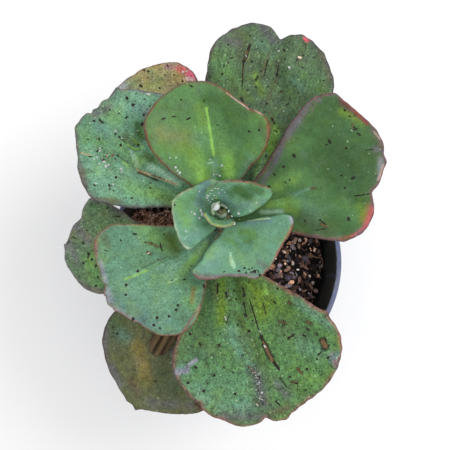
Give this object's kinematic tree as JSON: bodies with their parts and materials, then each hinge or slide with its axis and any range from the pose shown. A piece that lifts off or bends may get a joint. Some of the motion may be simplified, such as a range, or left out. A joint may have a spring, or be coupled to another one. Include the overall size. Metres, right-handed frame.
{
  "type": "potted echeveria",
  "caption": "Potted echeveria: a loose rosette of broad, spoon-shaped fleshy leaves on a bare leaning stem, in a round plastic pot of bark soil.",
  "frame": {"origin": "centre of the pot's underside, on the surface it stands on", "axes": "+Z up along the pot's axis; +Y towards the longest leaf, the way the stem leans; +X to the right in the picture, which looks down on the plant with +Y up"},
  "size_m": [0.1778, 0.2237, 0.2054],
  "materials": {
    "pot": "blue-grey injection-moulded plastic, satin, black inside",
    "soil": "dark chunky bark soil with a few pale bits",
    "stem": "tan, scarred, half-woody stem",
    "green_leaf": "smooth fleshy green leaf with a thin red margin",
    "blue_green_leaf": "waxy blue-green leaf with a bloom and a thin pink margin",
    "olive_leaf": "old olive-brown leaf with a purple-brown margin",
    "withered_leaf": "dry, brown and papery"
  },
  "bodies": {
    "root": {"pot": "pot", "soil": "soil", "stem": "stem", "leaf_01": "olive_leaf", "leaf_02": "olive_leaf", "leaf_03": "green_leaf", "leaf_04": "green_leaf", "leaf_05": "green_leaf", "leaf_06": "blue_green_leaf", "leaf_07": "green_leaf", "leaf_08": "blue_green_leaf", "leaf_09": "green_leaf", "leaf_10": "blue_green_leaf", "leaf_11": "blue_green_leaf", "leaf_12": "blue_green_leaf", "leaf_13": "blue_green_leaf", "leaf_14": "blue_green_leaf", "withered_leaf": "withered_leaf"}
  },
  "joints": []
}
